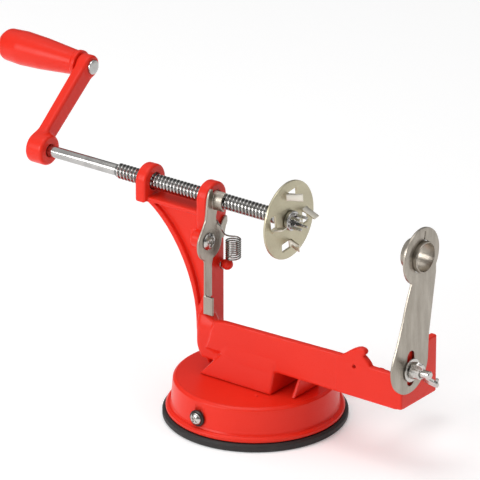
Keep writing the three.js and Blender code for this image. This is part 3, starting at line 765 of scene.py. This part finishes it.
def feed_shaft():
    around, rings_per_turn = 48, 10
    smooth = [(-161.7, 3.1), (-161.2, SMOOTH_R), (THREAD_START_X - 0.5, SMOOTH_R)]
    neck = [(THREAD_END_X - 0.2, 3.7), (THREAD_END_X, 3.5), (THREAD_END_X, 2.6), (27.3, 2.6), (27.6, 2.3)]
    rings = [shaft_ring(x, [radius] * around) for x, radius in smooth]
    for x in np.arange(THREAD_START_X, THREAD_STOP_X, THREAD_PITCH / rings_per_turn):
        rings.append(shaft_ring(x, [thread_radius(x, k / around) for k in range(around)]))
    rings += [shaft_ring(x, [radius] * around) for x, radius in neck]
    points = [point for ring in rings for point in ring]
    faces = tube_faces(len(rings), around)
    make("threaded_shaft", points, faces, SHAFT, "spindle", ["feed_shaft"], crease=32.0)


def rotate(points, degrees, y=0.0, z=SHAFT_Z):
    """An outline turned about (y, z)."""
    a = math.radians(degrees)
    c, s = math.cos(a), math.sin(a)
    return [(y + (u - y) * c - (v - z) * s, z + (u - y) * s + (v - z) * c) for u, v in points]


def drive_disc():
    count, first = 4, 97.0
    low, high = SHAFT_Z - 8.9, SHAFT_Z - 0.7
    window = rounded([(12.5, low), (17.5, low), (17.5, high), (12.5, high)], [0.8, 0.8, 0.3, 0.3], 3)
    angles = [first + i * 360 / count for i in range(count)]
    holes = [circle(0, SHAFT_Z, 2.9, 40)] + [rotate(window, angle) for angle in angles]
    outline = circle(0, SHAFT_Z, DISC_R, 120)
    disc = plate("drive_disc_skin", outline, holes, DISC_X0, DISC_X1, 0.22, DISC, "spindle", ["drive_disc"])
    for i, angle in enumerate(angles):
        piece = make(f"disc_fin_{i}", *fin_mesh(math.radians(angle)), TAB, "spindle", slot="steel")
        piece.parent = disc
        piece.matrix_world = Matrix.Identity(4)


def fin_mesh(angle):
    """A tab bent up out of the disc at the near edge of its window, with an easy bend at its root.

    Its section goes round the other way, so each face is turned over.
    """
    section = [(-1.35, 0.2), (-1.35, -0.9), (-0.5, -1.3), (0.6, -0.62), (7.0, -0.6), (8.3, -0.25), (8.3, 0.3),
               (7.0, 0.6), (0.7, 0.62), (-0.2, 1.5), (-0.9, 1.5)]
    lean = 0.42
    stations = [(12.75, 0.75), (13.0, 1.0), (17.1, 1.0), (17.35, 0.75)]
    c, s = math.cos(angle), math.sin(angle)
    points = []
    for r, size in stations:
        for out, t in section:
            across = t * size - lean * max(out, 0.0)
            points.append((DISC_X1 + out, r * c - across * s, SHAFT_Z + r * s + across * c))
    faces = tube_faces(len(stations), len(section))
    return points, [face[:1] + face[:0:-1] for face in faces]


def centre_fork():
    x0 = 24.7

    def field(x, y, z):
        r = np.hypot(y, z - SHAFT_Z)
        body = prism(r - 6.0, x, x0, x0 + 2.6, 0.5)
        for i in range(4):
            a = math.radians(45 + 90 * i)
            u = y * math.cos(a) + (z - SHAFT_Z) * math.sin(a)
            v = (z - SHAFT_Z) * math.cos(a) - y * math.sin(a)
            width = 1.15 - 0.09 * np.clip(x - x0 - 2.6, 0, 8)
            prong = np.maximum(slab(u, x, 3.1, 4.7, x0 + 1, x0 + 10.4), np.abs(v) - width)
            body = join(body, prong, 0.5)
        return carve(body, r - 2.9, 0.2)

    surface("centre_fork_skin", field, (23.9, -7, 123), (36.3, 7, 137), 0.28, CHROME, "spindle",
            ["centre_fork"])


def thrust_washer():
    washer = rounded([(2.9, 20.5), (8, 20.5), (8, 22.7), (2.9, 22.7), (2.9, 20.5)], [0, 0.5, 0.5, 0, 0])
    turned("thrust_washer_skin", washer, "x", (0, 0, SHAFT_Z), BRIGHT, "feed", ["thrust_washer"], 48)


def crank_field(x, y, z):
    c, s = math.cos(CRANK_ANGLE), math.sin(CRANK_ANGLE)
    u, v = y * c + (z - SHAFT_Z) * s, (z - SHAFT_Z) * c - y * s
    r = np.hypot(u, v)
    hub = prism(r - 9.3, x, HUB_X0, HUB_X1, 1.8)
    tip = prism(rod(u, v, CRANK_LENGTH, 0, 7.0), x, TIP_X0, TIP_X1, 1.6)
    half = 5.4 + 1.0 * np.clip(u / CRANK_LENGTH, 0, 1)
    middle, thick, edge_r = (TIP_X0 + TIP_X1) / 2, (TIP_X1 - TIP_X0 - 0.8) / 2, 1.9
    over_x = np.maximum(np.abs(x - middle) - thick + edge_r, 0)
    over_v = np.maximum(np.abs(v) - half + edge_r, 0)
    arm = np.maximum(np.hypot(over_x, over_v) - edge_r, np.maximum(4 - u, u - CRANK_LENGTH))
    body = join(join(hub, arm, 3.2), tip, 1.2)
    body = carve(body, prism(r - 3.8, x, HUB_X0 + 3.2, HUB_X1 + 3, 0.1), 0.7)
    body = carve(body, prism(r - 1.9, x, HUB_X0 - 3, HUB_X0 + 4, 0.1), 0.3)
    body = carve(body, prism(r - 4.7, x, HUB_X0 - 3, HUB_X0 + 0.1, 0.1), 0.3)
    return carve(body, prism(rod(u, v, CRANK_LENGTH, 0, 2.7), x, TIP_X0 - 3, TIP_X1 + 3, 0.1), 0.3)


def crank():
    low, high = (TIP_X0 - 1, -11, 119), (HUB_X1 + 1, 57, 177.5)
    surface("crank_arm_skin", crank_field, low, high, 0.6, RED, "spindle", ["crank_arm"])
    head = (HUB_X0 - 0.3, 0, SHAFT_Z)
    screw("crank_screw_head", head, (-1, 0, 0), 4.15, 2.5, "spindle", "crank_screw", 0.6, 1.6)
    place = (0, CRANK_LENGTH * math.cos(CRANK_ANGLE), SHAFT_Z + CRANK_LENGTH * math.sin(CRANK_ANGLE))
    pin = rounded([(0, TIP_X0 - 57), (2.4, TIP_X0 - 57), (2.4, TIP_X1 + 0.3), (4.6, TIP_X1 + 0.3),
                   (4.4, TIP_X1 + 1.4), (2.6, TIP_X1 + 1.8), (0, TIP_X1 + 1.8)], [0, 0.5, 0, 0.2, 0.4, 1, 0])
    turned("grip_pin_skin", pin, "x", place, CHROME, "spindle", ["grip_pin"], 40)
    x0, bore_end = TIP_X0 - 0.3, TIP_X0 - 57.3
    grip = rounded([(0, x0 - 60), (6.6, x0 - 60), (9.9, x0 - 56), (10.6, x0 - 44), (9.8, x0 - 28),
                    (8.2, x0 - 11), (7.5, x0 - 3.4), (8.3, x0 - 2.4), (8.3, x0), (2.8, x0), (2.8, bore_end),
                    (0, bore_end)], [0, 4, 5, 8, 10, 8, 1, 0.5, 0.6, 0.3, 0, 0], 6)
    turned("grip_skin", grip, "x", place, RED, "grip_sleeve", ["grip"], 64)


# ---- release lever and spring; the outline is (y, z) ----
LEVER = ([(-12.9, 61.5), (-9.0, 61.5), (-8.6, 70.4), (-6.6, 71.4), (-6.5, 91.0), (-5.4, 94.6)]
         + arc(-8.3, 105.4, 11.3, -60, -4, 8) + [(5.4, 104.4)]
         + bezier((5.6, 105.2), (6.0, 108.4), (7.2, 111.4), (8.6, 113.4), 5)
         + bezier((8.4, 117.0), (5.6, 118.2), (4.6, 116.4), (2.4, 113.2), 5)
         + bezier((0.2, 113.6), (-3.4, 117.6), (-2.9, 120.4), (-1.2, 123.6), 6)
         + [(-1.0, 125.0), (-5.4, 126.0), (-5.4, 138.0), (-7.2, 138.6)]
         + bezier((-7.2, 138.6), (-10.4, 136.4), (-10.6, 130), (-11.2, 124.6), 6)[1:]
         + bezier((-12.2, 120.4), (-13.4, 117.6), (-15.4, 115.2), (-17.4, 112.2), 4)
         + arc(-8.3, 105.4, 11.3, 145, 243, 12) + [(-12.9, 93.6)])


def lever_field(x, y, z):
    plate_part = prism(polygon(y, z, LEVER), x, LEVER_X, LEVER_X + LEVER_T, 0.3)
    tail = prism(slab(x, z, LEVER_X, LEVER_X + 6.9, 61.4, 73.0), y, -13.4, -12.0, 0.4)
    body = join(plate_part, tail, 0.5)
    radius = np.hypot(y, z - SHAFT_Z)
    shell = prism(np.abs(radius - 6.0) - 0.65, x, LEVER_X + 0.1, LEVER_X + 8.0, 0.25)
    sector = np.maximum(y + 1.6, SHAFT_Z - 5.0 - z)
    body = join(body, np.maximum(shell, sector), 0.5)
    return carve(body, prism(rod(y, z, PIVOT_Y, PIVOT_Z, 3.0), x, -40, -20, 0.1), 0.2)


def release_lever():
    surface("release_lever_skin", lever_field, (-29.3, -21, 58.6), (-19.4, 11, 140), 0.36, STEEL, "lever",
            ["release_lever"])
    screw("lever_pivot_screw", (LEVER_X + LEVER_T + 0.3, PIVOT_Y, PIVOT_Z), (1, 0, 0), 5.5, 2.6, "stand",
          "lever_screw", 0.5, 2.9, length=7.5)


def spring():
    """A hook round the frame's peg, the coil, and a straight end that goes up to the lever's arm."""
    cx, cy, outer, wire = -19.4, 4.2, 4.7, 0.48
    low, high, turns, per_turn, first = 93.2, 105.4, 9, 22, 2.4
    hook_r, hook_steps = 3.2, 13
    path = []
    for k in range(hook_steps + 1):
        t = k / hook_steps
        a = math.radians(-30 + 250 * t)
        path.append((-26.6 + 0.5 * t, PEG_Y - hook_r * math.cos(a), PEG_Z - hook_r * math.sin(a)))
    path.append((-24.6, 6.2, 91.6))
    r = outer - wire
    for t in np.linspace(0, 1, turns * per_turn + 1):
        a = 2 * math.pi * turns * t + first
        path.append((cx + r * math.cos(a), cy + r * math.sin(a), low + (high - low) * t))
    path += [(-24.6, 4.4, 106.4), (-24.9, 2.6, 108.2), (-24.6, 0.6, 110.6), (-25.0, -0.6, 113.4),
             (-26.6, -0.8, 115.4), (-28.0, -0.4, 116.6)]
    points, faces = sweep_mesh(smooth_path(path), wire, 10)
    piece = make("coil_spring", points, faces, WIRE, None, ["lever_spring"], crease=60.0)
    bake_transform(piece)


def smooth_path(path, per=2):
    """A smooth curve through the path's points, with per points for each stretch."""
    path = [Vector(p) for p in path]
    out = []
    for i in range(len(path) - 1):
        p0, p1, p2, p3 = path[max(i - 1, 0)], path[i], path[i + 1], path[min(i + 2, len(path) - 1)]
        for k in range(per):
            t = k / per
            out.append(0.5 * (2 * p1 + (p2 - p0) * t + (2 * p0 - 5 * p1 + 4 * p2 - p3) * t * t
                              + (3 * p1 - p0 - 3 * p2 + p3) * t ** 3))
    out.append(path[-1])
    return out


# ---- slicing arm ----
def slicer():
    foot_y, foot_z, foot_r = -10.2, 67.4, 17.8
    outline = (bezier((-9.4, 116.9), (-12.6, 110), (-15.4, 103), (-17.2, 96), 6) + [(-23.8, 80)]
               + bezier((-23.8, 80), (-26.0, 75.6), (-27.8, 72), (-28.0, 67.4), 7)[1:]
               + arc(foot_y, foot_z, foot_r, 180, 360, 28)[1:] + [(8.0, 79.0), (14.4, 117.0)]
               + arc(0, RING_Z, RING_R, -33, 236, 56))
    slot = arc(BOLT_Y, 57.4, 3.4, 180, 360, 12) + arc(BOLT_Y, 72.4, 3.4, 0, 180, 12)
    hole = circle(0, RING_Z, 9.6, 48)
    low, high = RING_Z - 0.55, RING_Z + 0.55
    slit = rotate([(9.9, low), (14.8, low), (14.8, high), (9.9, high)], 78, 0.0, RING_Z)
    plate("slicer_arm_skin", outline, [slot, hole, slit], ARM_X, ARM_X + ARM_T, 0.22, STEEL, "slicer",
          ["slicer_arm"])
    x0, x1 = ARM_X - 7.5, ARM_X + ARM_T + 2.8
    collar = rounded([(8.6, x1), (9.1, x1), (9.3, x1 - 0.5), (9.3, x0 + 2.6), (8.7, x0), (8.6, x0)],
                     [0.1, 0.2, 0.2, 0.5, 0, 0])
    points, faces = turned_mesh((collar + collar[:1])[::-1], "x", (0, 0, RING_Z), 72)
    piece = make("coring_collar", points, faces, STEEL, "slicer", ["coring_ring"], crease=35.0)
    tidy(piece.data)


# One wing of the nut, as (x, distance from the bolt's axis).
WING = rounded([(120.2, 2.0), (125.0, 2.4), (130.4, 7.6), (131.9, 11.0), (131.2, 13.9), (128.6, 14.4),
                (123.6, 11.6), (120.4, 5.4)], [0.5, 1, 3, 3, 2.5, 2.5, 3, 1])


def clamp():
    head, place = PLATE_IN_X - 0.3, (0, BOLT_Y, BOLT_Z)
    stud = rounded([(0, head - 3), (2.6, head - 2.7), (4.4, head - 1.2), (4.7, head), (2.45, head),
                    (2.45, 131.0), (1.9, 131.6), (0, 131.6)], [0, 1, 1, 0.2, 0, 0.3, 0.3, 0])
    turned("clamp_stud", stud, "x", place, BRIGHT, "stand", ["clamp_bolt"], 40)
    x0 = ARM_X + ARM_T + 0.3
    washer = rounded([(2.7, x0), (7.0, x0), (7.0, x0 + 1), (2.7, x0 + 1)], [0, 0.3, 0.3, 0])
    turned("clamp_washer", washer + washer[:1], "x", place, BRIGHT, "arm_clamp", ["arm_washer"], 48)
    nut_x, angle = x0 + 1.3, math.radians(-48)
    c, s = math.cos(angle), math.sin(angle)

    def field(x, y, z):
        u, v = (y - BOLT_Y) * c + (z - BOLT_Z) * s, (z - BOLT_Z) * c - (y - BOLT_Y) * s
        r = np.hypot(u, v)
        hub = prism(r - 5.0 + 0.16 * (x - nut_x), x, nut_x, nut_x + 6.0, 0.5)
        wing = prism(polygon(x, np.abs(u), WING), v, -1.15, 1.15, 0.6)
        return carve(join(hub, wing, 1.2), r - 2.7, 0.3)

    surface("wing_nut_skin", field, (118.6, -21.5, 52), (133.4, 2.5, 76), 0.33, BRIGHT, "nut", ["wing_nut"])


# ---- peeling arm, parked behind the bar ----
PEEL_C, PEEL_S = math.cos(PEEL_DROP), math.sin(PEEL_DROP)
PIN_U = 66.0  # from the arm's hinge to the blade's pin


def along_arm(y, z):
    """Distances along the peeling arm from its hinge, and above it."""
    dy, dz = y - PEEL_Y, z - PEEL_Z
    return dy * PEEL_C - dz * PEEL_S, dz * PEEL_C + dy * PEEL_S


def peel_arm_field(x, y, z):
    u, v = along_arm(y, z)
    out = np.abs(x - PEEL_X)
    hub = prism(np.hypot(u, v) - 3.4, x, PEEL_X - 7.6, PEEL_X + 7.6, 0.5)
    strip = np.maximum(out - (5.0 - 0.018 * u), np.abs(u - 29) - 29)
    strip = prism(strip, v, -0.9, 0.9, 0.3)
    bead = np.maximum(np.hypot(out, np.abs(v - 0.6)) - 1.1, np.abs(u - 30) - 22)
    side = prism(slab(u, v, 56, 70, -1.6, 1.6), out, 4.0, 6.0, 0.4)
    bridge = prism(slab(u, v, 55, 57.4, -1.6, 1.6), x, PEEL_X - 6, PEEL_X + 6, 0.4)
    body = join(join(join(hub, strip, 0.8), bead, 0.6), join(side, bridge, 0.8), 0.8)
    body = carve(body, np.hypot(u, v) - 1.7, 0.2)
    return carve(body, np.hypot(u - PIN_U, v) - 0.95, 0.15)


def peel_blade_field(x, y, z):
    u, v = along_arm(y, z)
    out = np.abs(x - PEEL_X)
    shell = np.abs(np.hypot((u - 64.0) * 0.75, v + 1.4) - 2.3) - 0.42
    shell = np.maximum(np.maximum(shell, np.abs(u - 64) - 2.4), -1.3 - v)
    shell = np.maximum(shell, out - 3.4)
    slot = np.maximum(out - 2.5, np.abs(u - 64.6) - 0.55)
    ends = np.maximum(np.hypot(u - PIN_U, v) - 1.3, np.abs(out - 3.0) - 0.4)
    body = np.minimum(carve(shell, slot, 0.1), ends)
    return carve(body, np.hypot(u - PIN_U, v) - 0.9, 0.1)


def peeler():
    low, high = (PEEL_X - 9, -10, 20), (PEEL_X + 9, 61, 57)
    surface("peel_arm_skin", peel_arm_field, low, high, 0.5, STEEL, "peeler", ["peel_arm"])
    low, high = (PEEL_X - 4, 50, 20), (PEEL_X + 4, 58, 29)
    surface("peel_blade_skin", peel_blade_field, low, high, 0.2, BRIGHT, "blade", ["peel_blade"])
    low, high = PEEL_X - 12.5, PEEL_X + 12.5
    hinge = rounded([(0, low), (1.5, low), (1.5, high), (0, high)], [0, 0.4, 0.4, 0])
    turned("peel_rod_skin", hinge, "x", (0, PEEL_Y, PEEL_Z), CHROME, "stand", ["peel_rod"], 24)
    pin = rounded([(0, PEEL_X - 6.4), (0.8, PEEL_X - 6.4), (0.8, PEEL_X + 6.3), (1.5, PEEL_X + 6.3),
                   (1.5, PEEL_X + 7), (0, PEEL_X + 7)], [0, 0.2, 0, 0.1, 0.3, 0])
    place = (0, PEEL_Y + PIN_U * PEEL_C, PEEL_Z - PIN_U * PEEL_S)
    turned("blade_pin_skin", pin, "x", place, CHROME, "peeler", ["blade_pin"], 24)


base()
suction_lever()
axle()
frame_skin()
feed_shaft()
drive_disc()
centre_fork()
thrust_washer()
crank()
release_lever()
spring()
slicer()
clamp()
peeler()
for node, look in (("cup_stem", DARK), ("cam", DARK)):
    obj = frame["nodes"][node]
    obj.data.materials.clear()
    obj.data.materials.append(look)
